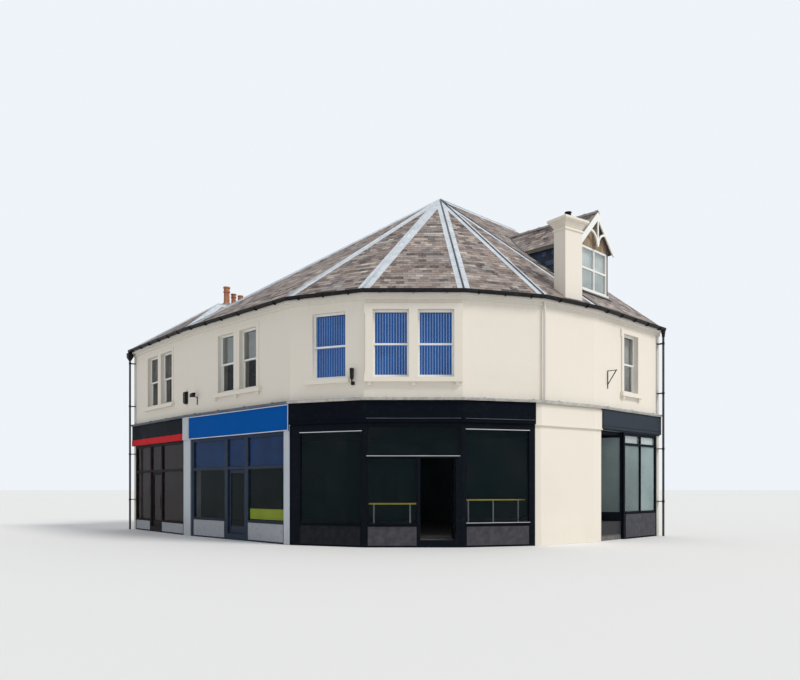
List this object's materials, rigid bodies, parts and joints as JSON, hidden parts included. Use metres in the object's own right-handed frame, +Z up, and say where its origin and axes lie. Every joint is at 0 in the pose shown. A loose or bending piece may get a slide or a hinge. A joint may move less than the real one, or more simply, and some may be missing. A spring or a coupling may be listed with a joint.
{
  "type": "corner shop building",
  "caption": "Corner shop building with canted faces, a faceted hipped slate roof, a gabled dormer, chimney stacks, sash windows and glazed shopfronts with hinged doors.",
  "frame": {"origin": "ground level below the middle of the entrance face, on the wall's outer face", "axes": "+X to the right along the entrance face, +Y into the building, +Z up"},
  "size_m": [19.9748, 14.0854, 12.0223],
  "materials": {
    "concrete": "smooth concrete",
    "floor_boards": "plain boards",
    "cream_render": "painted render, matt",
    "side_render": "painted render, matt",
    "slate": "riven slate, matt",
    "lead_sheet": "dull lead sheet",
    "red_brick": "fired brick, matt",
    "terracotta": "fired clay, matt",
    "white_paint": "white gloss paint on timber",
    "grey_cream_paint": "satin paint on timber",
    "black_paint": "black gloss paint",
    "brown_black_paint": "dark satin paint",
    "blue_paint": "blue satin paint",
    "blue_grey_paint": "blue-grey satin paint",
    "pale_stone": "pale painted stone",
    "window_glass": "clear glass"
  },
  "bodies": {
    "building": {"ground_floor": "concrete", "first_floor": "floor_boards", "attic_floor": "floor_boards", "left_bay_wall": "cream_render", "left_wall": "cream_render", "corner_left_wall": "cream_render", "corner_front_wall": "cream_render", "corner_right_wall": "cream_render", "pier_wall": "cream_render", "right_wall": "cream_render", "left_party_wall": "side_render", "right_party_wall": "side_render", "rear_wall": "side_render", "left_bay_rear_wall": "side_render", "left_roof_slope": "slate", "corner_roof": "slate", "right_roof_slope": "slate", "rear_roof_slope": "slate", "left_bay_roof": "slate", "roof_leads": "lead_sheet", "dormer_walls": "slate", "dormer_roof": "slate", "dormer_window": "white_paint", "dormer_bargeboards": "white_paint", "right_chimney": "cream_render", "stack_cowl": "black_paint", "wall_fittings": "black_paint", "left_chimney": "red_brick", "chimney_pots": "terracotta", "eaves_boards": "grey_cream_paint", "gutters": "black_paint", "downpipes": "black_paint", "window_dressings": "cream_render", "sash_windows": "white_paint", "upper_glass": "window_glass", "shop_cornice": "grey_cream_paint", "black_fascias": "brown_black_paint", "blue_fascia": "blue_paint", "left_shopfront": "brown_black_paint", "second_shopfront": "blue_grey_paint", "corner_shopfront": "black_paint", "right_shopfront": "black_paint", "shop_glass": "window_glass", "shop_piers": "pale_stone"},
    "left_door": {"left_shop_door": "brown_black_paint", "left_door_glass": "window_glass"},
    "second_door": {"second_shop_door": "blue_grey_paint", "second_door_glass": "window_glass"},
    "corner_door": {"corner_shop_door": "black_paint", "corner_door_glass": "window_glass"}
  },
  "joints": [
    {"name": "left_door_hinge", "type": "hinge", "parent": "building", "child": "left_door", "pos_m": [-9.77214, 7.70401, 0.2], "axis": [0, 0, 1], "range_deg": [0, 90]},
    {"name": "second_door_hinge", "type": "hinge", "parent": "building", "child": "second_door", "pos_m": [-5.83218, 3.29802, 0.2], "axis": [0, 0, 1], "range_deg": [0, 90]},
    {"name": "corner_door_hinge", "type": "hinge", "parent": "building", "child": "corner_door", "pos_m": [1.172, 0.08, 0.2], "axis": [0, 0, 1], "range_deg": [0, 90]}
  ]
}
